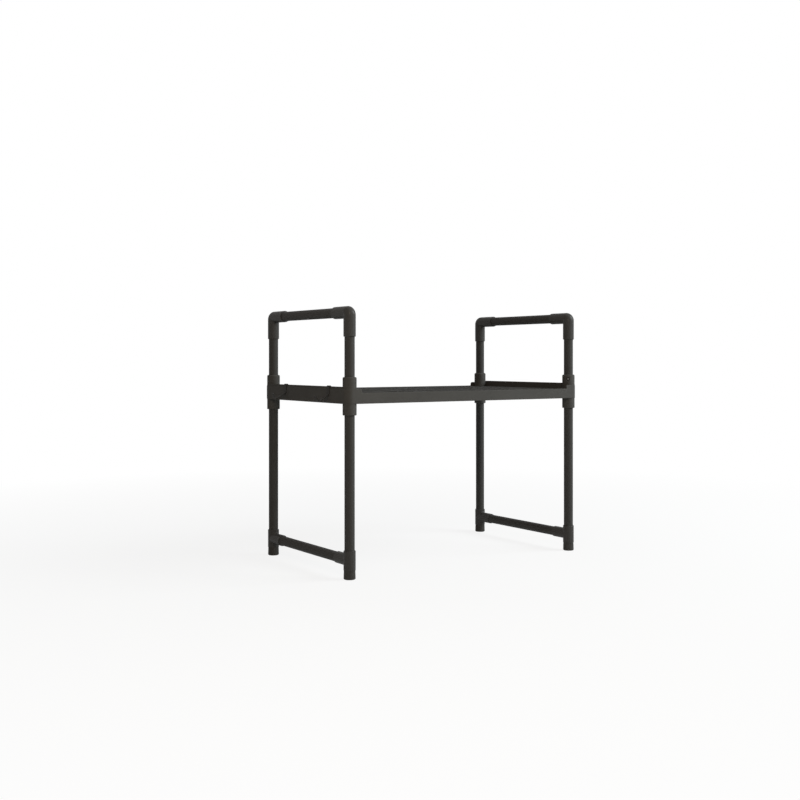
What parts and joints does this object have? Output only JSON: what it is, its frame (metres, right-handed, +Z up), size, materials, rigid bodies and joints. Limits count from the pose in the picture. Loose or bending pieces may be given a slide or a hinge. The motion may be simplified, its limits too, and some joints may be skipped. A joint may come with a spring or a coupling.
{
  "type": "microwave rack",
  "caption": "Free-standing tube rack with one moulded shelf over a microwave bay, raised side rails and clip-on utensil hooks.",
  "frame": {"origin": "on the worktop, under the middle of the bounding box of the whole object with its hooks; the rack's own middle plane is 16.8 mm to the right, at +X", "axes": "+Z up; +X to the right and +Y to the back, for someone who stands in front of the rack"},
  "size_m": [0.6932, 0.3796, 0.5807],
  "materials": {
    "shelf": "fine moulded grain, charcoal black",
    "fitting": "satin moulded black",
    "tube": "satin black powder coat on steel tube",
    "foot": "matte black, slightly soft",
    "hook": "satin black coat on bent steel strap",
    "screw": "black zinc"
  },
  "bodies": {
    "rack": {"front_left_leg": "tube", "front_left_post": "tube", "front_left_elbow": "fitting", "front_left_tee": "fitting", "front_left_foot": "foot", "rear_left_leg": "tube", "rear_left_post": "tube", "rear_left_elbow": "fitting", "rear_left_tee": "fitting", "rear_left_foot": "foot", "left_top_rail": "tube", "left_crossbar": "tube", "front_right_leg": "tube", "front_right_post": "tube", "front_right_elbow": "fitting", "front_right_tee": "fitting", "front_right_foot": "foot", "rear_right_leg": "tube", "rear_right_post": "tube", "rear_right_elbow": "fitting", "rear_right_tee": "fitting", "rear_right_foot": "foot", "right_top_rail": "tube", "right_crossbar": "tube", "shelf_panel": "shelf", "post_locking_screws": "screw"},
    "front_hook": {"front_hook": "hook"},
    "rear_hook": {"rear_hook": "hook"}
  },
  "joints": [
    {"name": "front_hook_slide", "type": "slide", "parent": "rack", "child": "front_hook", "axis": [0, 1, 0], "range_m": [-0.043, 0.09]},
    {"name": "rear_hook_slide", "type": "slide", "parent": "rack", "child": "rear_hook", "axis": [0, 1, 0], "range_m": [-0.09, 0.072]}
  ]
}
